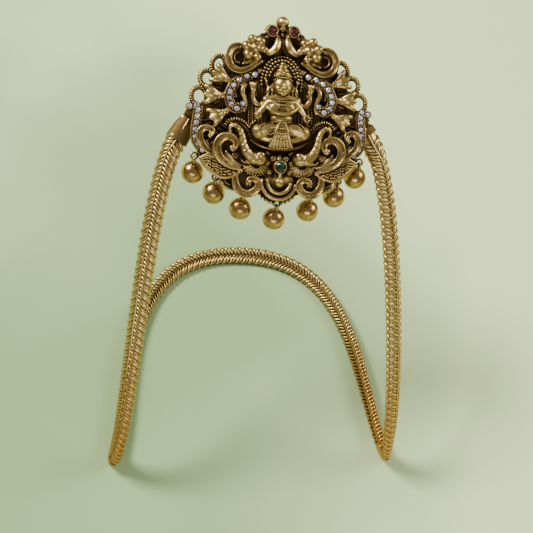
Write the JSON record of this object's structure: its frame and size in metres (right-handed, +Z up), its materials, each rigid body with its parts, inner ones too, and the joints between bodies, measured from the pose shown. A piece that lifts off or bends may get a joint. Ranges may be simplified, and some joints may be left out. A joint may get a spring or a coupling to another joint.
{
  "type": "armlet",
  "caption": "Stiff upper-arm ornament: woven metal band folded into a slanted ring, cast openwork medallion with seated figure, set stones and ball drops.",
  "frame": {"origin": "on the ground under the middle of the whole armlet's box, as it stands on its two folded tips and its back arch", "axes": "+Z up, -Y towards the side that shows the medallion, +X to the right as seen from there"},
  "size_m": [0.0856, 0.0843, 0.1012],
  "materials": {
    "woven_wire": "woven wire, rubbed bright on its ribs and dark in its hollows",
    "smooth_solder": "smooth soldered sheet, softly worn",
    "cast_metal": "antique cast, black in its hollows and polished on its high places",
    "drop_metal": "smooth polished sheet with a coppery tone",
    "clear_stone": "faceted clear stone",
    "red_stone": "faceted wine-red stone",
    "green_stone": "faceted dark green stone"
  },
  "bodies": {
    "root": {"band": "woven_wire", "end_cap_left": "smooth_solder", "end_cap_right": "smooth_solder", "medallion": "cast_metal", "figure": "cast_metal", "outer_stones_left": "clear_stone", "outer_stones_right": "clear_stone", "inner_stones_left": "clear_stone", "inner_stones_right": "clear_stone", "red_stone_left": "red_stone", "red_stone_right": "red_stone", "green_stone": "green_stone", "jump_ring_1": "drop_metal", "jump_ring_2": "drop_metal", "jump_ring_3": "drop_metal", "jump_ring_4": "drop_metal", "jump_ring_5": "drop_metal", "jump_ring_6": "drop_metal", "jump_ring_7": "drop_metal", "drop_1": "drop_metal", "drop_2": "drop_metal", "drop_3": "drop_metal", "drop_4": "drop_metal", "drop_5": "drop_metal", "drop_6": "drop_metal", "drop_7": "drop_metal"}
  },
  "joints": []
}
